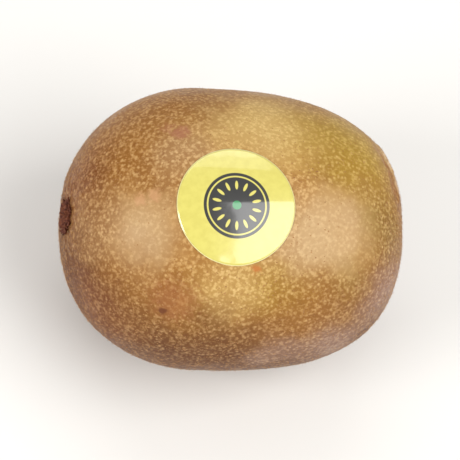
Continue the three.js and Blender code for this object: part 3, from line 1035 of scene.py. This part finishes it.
for i in range(3):
    after = (i + 1) % 3
    spike += [(i, after, 3 + after), (i, 3 + after, 3 + i), (3 + i, 3 + after, 6)]
starts = np.arange(HAIR_COUNT)[:, None, None] * 7
fuzz = mesh_piece("fuzz", hair_points, (starts + np.array(spike)).reshape(-1, 3).tolist())

# %% The material of the hairs
hair_material, tree, shader = new_material("short_hairs")
place = place_in_mm(tree)
tint = mottled(tree, place, 2.0, 2.0, (0.35, 0.65), colour(156, 106, 56), colour(208, 162, 106))
plain_finish(tree, shader, tint, roughness=0.6, gloss=0.3)
fuzz.data.materials.append(hair_material)
print("the hair material has", len(tree.nodes), "nodes")

# %% [markdown]
# The sticker is a thin film, so it has the shape of whatever lies under it. It is a round grid
# of points, each set at the height of the bare skin below it plus a hair of glue. A flat disc
# with a shrinkwrap modifier would do the same, but it would pick up the facets of the mesh
# below, and a glossy film shows every one of them. Round the edge the paper can't follow two
# curves at once, so it makes tiny waves.

# %% The height of the bare skin under the sticker


def skin_height(x, across):
    """How high the skin lies over the long axis, along the sticker's normal, in mm."""
    along = (x - BELLY_X) / np.where(x > BELLY_X, STEM["reach"], BLOSSOM["reach"])
    far = np.abs(along)
    radius = np.where(along > 0,
                      (1 - far ** STEM["full_along"]) ** (1 / STEM["full_across"]),
                      (1 - far ** BLOSSOM["full_along"]) ** (1 / BLOSSOM["full_across"]))
    y, z = FRUIT_WIDTH / 2, FRUIT_HEIGHT / 2
    up_y, up_z = sticker_normal[1], sticker_normal[2]
    a = (up_y / y) ** 2 + (up_z / z) ** 2
    b = across * ((up_z * up_y) / y**2 - (up_y * up_z) / z**2)
    c = across**2 * ((up_z / y) ** 2 + (up_y / z) ** 2) - radius**2
    return (-b + np.sqrt(b * b - a * c)) / a


# %% The film of the sticker
FILM_THICKNESS = 0.09
FILM_GAP = 0.07
FILM_RINGS = 26
FILM_STEPS = 128
WAVE_COUNT = 13
WAVE_HEIGHT = 0.012
SWELL_HEIGHT = 0.002

radii = STICKER_RADIUS * np.linspace(1, 0, FILM_RINGS + 1)[:-1]
angles = 2 * np.pi * np.arange(FILM_STEPS) / FILM_STEPS
film_x = np.append((radii[:, None] * np.cos(angles)).ravel(), 0.0)
film_across = np.append((radii[:, None] * np.sin(angles)).ravel(), 0.0)
edge_share = np.hypot(film_x, film_across) / STICKER_RADIUS
film_angle = np.arctan2(film_across, film_x)
waves = WAVE_HEIGHT * smooth_step(0.82, 1.0, edge_share) * (1 + np.sin(
    WAVE_COUNT * film_angle + 1.5 * np.sin(3 * film_angle)))
flat_places = np.stack([film_x, film_across, np.zeros_like(film_x)], axis=1)
swells = SWELL_HEIGHT * wander(flat_places, 5.5, 2.2)
film_height = skin_height(film_x + STICKER_X, film_across) + FILM_GAP + waves + swells


def film_sheet(height):
    return (sticker_foot + film_x[:, None] * np.array([1.0, 0.0, 0.0])
            + film_across[:, None] * sticker_side + height[:, None] * sticker_normal)


film_points = np.concatenate([film_sheet(film_height + FILM_THICKNESS), film_sheet(film_height)])
film_total = len(film_x)
upper = ring_faces(FILM_RINGS, FILM_STEPS)
upper += cap_faces(film_total - 1, (FILM_RINGS - 1) * FILM_STEPS, FILM_STEPS, flip=False)
upper = [face[::-1] if len(face) == 4 else face for face in upper]
lower = [tuple(v + film_total for v in face[::-1]) for face in upper]
edge = [(i + film_total, (i + 1) % FILM_STEPS + film_total, (i + 1) % FILM_STEPS, i)
        for i in range(FILM_STEPS)]
sticker = mesh_piece("sticker_film", film_points, list(map(tuple, upper)) + lower + edge)

# %% Its flat print map, one unit across the sticker
print_map = sticker.data.uv_layers.new(name="print")
vertex_of_corner = np.empty(len(sticker.data.loops), dtype=np.int64)
sticker.data.loops.foreach_get("vertex_index", vertex_of_corner)
flat_uv = np.tile(np.stack([film_x, film_across], axis=1) / (2 * STICKER_RADIUS) + 0.5, (2, 1))
print_map.data.foreach_set("uv", flat_uv[vertex_of_corner].ravel())
print("the print is", 2 * STICKER_RADIUS, "mm across")

# %% [markdown]
# The print is a plain fruit slice: a dark round on a yellow ground, a thin yellow ring inside its
# edge, a wreath of seeds and a small green core. It has no lettering. Every mark is a distance
# from the middle or an angle round it, so it is drawn by a few nodes of arithmetic and stays
# sharp at any size. An image would do too, but it would be one more file to keep.

# %% The sizes of the print, as shares of the sticker's radius
SEED_COUNT = 14
SEED_RING = 0.345
SEED_LENGTH = 0.075
SEED_WIDTH = 0.026
ROUND_RADIUS = 0.56
LINE_RADIUS = 0.495
LINE_HALF_WIDTH = 0.013
CORE_RADIUS = 0.075
PRINT_BLUR = 0.012
CUT_EDGE = 0.99
YELLOW = colour(221, 210, 102)
WORN_YELLOW = colour(214, 202, 94)
CHARCOAL = colour(34, 33, 30)
CORE_GREEN = colour(40, 144, 80)
PAPER = colour(238, 228, 160)

# %% Places on the print
print_material, tree, shader = new_material("printed_film")
uv = add_node(tree, "UVMap", uv_map="print").outputs[0]
centred = vector_node(tree, "SCALE", vector_node(tree, "SUBTRACT", uv, (0.5, 0.5, 0.0)), 2.0)
parts = add_node(tree, "SeparateXYZ", {0: centred}).outputs
radius = vector_node(tree, "LENGTH", centred)
angle = math_node(tree, "ARCTAN2", parts["Y"], parts["X"])


def inside(tree, value, limit):
    return fade_node(tree, value, limit + PRINT_BLUR / 2, limit - PRINT_BLUR / 2)


# %% Seeds, ring and colours of the print
turns = math_node(tree, "MULTIPLY", angle, SEED_COUNT / (2 * math.pi))
share = math_node(tree, "SUBTRACT", math_node(tree, "FRACT", turns), 0.5)
sideways = math_node(tree, "MULTIPLY", math_node(tree, "MULTIPLY", share, radius),
                     2 * math.pi / SEED_COUNT)
lengthways = math_node(tree, "SUBTRACT", radius, SEED_RING)
seed = math_node(tree, "ADD",
                 math_node(tree, "POWER", math_node(tree, "DIVIDE", sideways, SEED_WIDTH), 2.0),
                 math_node(tree, "POWER", math_node(tree, "DIVIDE", lengthways, SEED_LENGTH), 2.0))
seeds = fade_node(tree, seed, 1.3, 0.7)
ring_line = math_node(tree, "ABSOLUTE", math_node(tree, "SUBTRACT", radius, LINE_RADIUS))
marks = math_node(tree, "MAXIMUM", seeds, inside(tree, ring_line, LINE_HALF_WIDTH))
ink_wear = noise_node(tree, place_in_mm(tree), 1.3, 4.0)
yellow = mix_node(tree, fade_node(tree, ink_wear, 0.3, 0.7), YELLOW, WORN_YELLOW)
design = mix_node(tree, inside(tree, radius, ROUND_RADIUS), yellow, CHARCOAL)
design = mix_node(tree, marks, design, YELLOW)
design = mix_node(tree, inside(tree, radius, CORE_RADIUS), design, CORE_GREEN)
design = mix_node(tree, inside(tree, radius, CUT_EDGE), PAPER, design)
tree.links.new(design, shader.inputs["Base Color"])
print("the print has", SEED_COUNT, "seeds and", len(tree.nodes), "nodes")

# %% [markdown]
# Over its ink a real sticker has a clear film. The coat layer of the material stands for it: it
# mirrors the lamps and leaves the colours below as they are. The film is never quite flat, so a
# very low, slow ripple bends the reflections.

# %% The gloss of the film
RIPPLE_SIZE, RIPPLE_HEIGHT = 1.8, 0.005

shader.inputs["Roughness"].default_value = 0.35
shader.inputs["Coat Weight"].default_value = 1.0
shader.inputs["Coat Roughness"].default_value = 0.07
shader.inputs["Coat IOR"].default_value = 1.8
ripple = noise_node(tree, place_in_mm(tree), RIPPLE_SIZE, 3.0)
bump = add_node(tree, "Bump", {"Height": ripple, "Distance": RIPPLE_HEIGHT * MM})
tree.links.new(bump.outputs[0], shader.inputs["Normal"])
tree.links.new(bump.outputs[0], shader.inputs["Coat Normal"])
sticker.data.materials.append(print_material)
print("the film has a coat of weight", shader.inputs["Coat Weight"].default_value)

# %% [markdown]
# So far the pieces only stand in the right place. Now each is hung on what carries it, and the
# packed solid that it takes the place of is hidden: the fruit grew as one, so its skin, hairs,
# specks and dried ends all replace the one solid of the fruit.

# %% Hang every piece on the frame
GROWN_PIECES = (fruit_skin, specks, fuzz, flower_remains, stem_scar, sepals)
for piece in GROWN_PIECES:
    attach(piece, "root")
    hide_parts("fruit")
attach(sticker, "root")
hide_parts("sticker")
print(len(GROWN_PIECES) + 1, "pieces hang on the frame")

# %% [markdown]
# The fruit is shown on a plain pale floor. The floor is a very large square, so that its edge
# stays out of every picture, and its finish has only a breath of unevenness.

# %% The floor
FLOOR_HALF = 3000.0
floor_corners = [(-1, -1, 0), (1, -1, 0), (1, 1, 0), (-1, 1, 0)]
floor = mesh_piece("floor", np.array(floor_corners) * FLOOR_HALF, [(0, 1, 2, 3)])
floor_material, tree, shader = new_material("pale_floor")
tint = mix_node(tree, noise_node(tree, place_in_mm(tree), 90.0, 2.0),
                colour(240, 238, 234), colour(236, 233, 228))
tree.links.new(tint, shader.inputs["Base Color"])
shader.inputs["Roughness"].default_value = 0.8
floor.data.materials.append(floor_material)
floor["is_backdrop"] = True

# %% [markdown]
# The light is that of a product table: a softbox on each side, two weak fills overhead and
# behind, and white surroundings. A lamp's place is given as the direction in which the fruit
# sees it. The right softbox is large and hangs almost overhead, and its reflection turns half of
# the glossy print pale.

# %% The lights
target = Vector((middle_x * MM, 0.0, axis_z * MM))


def softbox(name, direction, distance, width, height, power):
    light = bpy.data.lights.new(name, "AREA")
    light.shape = "RECTANGLE"
    light.size = width
    light.size_y = height
    light.energy = power
    lamp = bpy.data.objects.new(name, light)
    direction = Vector(direction).normalized()
    edge = Vector((1.0, 0.0, 0.0))
    edge = (edge - edge.dot(direction) * direction).normalized()
    turn = Matrix((edge, direction.cross(edge), direction)).transposed().to_4x4()
    lamp.matrix_world = Matrix.Translation(target + direction * distance) @ turn
    bpy.context.scene.collection.objects.link(lamp)
    print(name, "gives", power, "W")


# Each has a direction, its distance, width and height in metres, and its power in watts.
softbox("left_softbox", (-0.838, -0.331, 0.46), 1.1, 0.50, 0.50, 7.0)
softbox("right_softbox", (0.624, -0.375, 0.722), 1.1, 1.11, 1.10, 11.4)
softbox("top_fill", (-0.10, 0.62, 0.78), 1.4, 1.2, 0.70, 2.4)
softbox("far_fill", (-0.10, 0.74, 0.67), 1.4, 1.2, 0.70, 2.4)

world = bpy.data.worlds.new("white_surroundings")
bpy.context.scene.world = world
world.use_nodes = True
background = world.node_tree.nodes["Background"]
background.inputs["Color"].default_value = (1.0, 1.0, 1.0, 1.0)
background.inputs["Strength"].default_value = 0.40
bpy.context.scene.view_settings.view_transform = "Standard"
print("the lamps point at", tuple(round(c, 4) for c in target))

# %% [markdown]
# The camera looks down steeply, a little from the blossom end, with a long lens as such
# pictures are taken. Its direction follows from two angles, and a third turns the picture so
# that the long axis leans by two degrees.

# %% The camera
BLOSSOM_ANGLE = math.radians(10)
ELEVATION = math.radians(61)
ROLL = math.radians(2)
CAMERA_DISTANCE = 0.650
PICTURE_WIDTH = 0.0935
SENSOR_WIDTH = 36.0

back = Vector((-math.sin(BLOSSOM_ANGLE), -math.cos(BLOSSOM_ANGLE) * math.cos(ELEVATION),
               math.cos(BLOSSOM_ANGLE) * math.sin(ELEVATION)))
fruit_axis = Vector((1.0, 0.0, 0.0))
level = (fruit_axis - fruit_axis.dot(back) * back).normalized()
upright = back.cross(level)
right = math.cos(ROLL) * level + math.sin(ROLL) * upright
up = math.cos(ROLL) * upright - math.sin(ROLL) * level

camera_data = bpy.data.cameras.new("camera")
camera_data.sensor_width = SENSOR_WIDTH
camera_data.lens = SENSOR_WIDTH * CAMERA_DISTANCE / PICTURE_WIDTH
camera = bpy.data.objects.new("camera", camera_data)
place = target + back * CAMERA_DISTANCE
camera.matrix_world = Matrix.Translation(place) @ Matrix((right, up, back)).transposed().to_4x4()
bpy.context.scene.collection.objects.link(camera)
bpy.context.scene.camera = camera
print("the lens is", round(camera_data.lens, 1), "mm")

# %% [markdown]
# At the end the reach of the dressed fruit is measured and printed. It should differ from the
# imported one by no more than a hair's length, because what was added is only skin deep.

# %% Measure the dressed fruit
low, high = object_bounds()
print("the dressed fruit reaches from", tuple(low), "to", tuple(high))
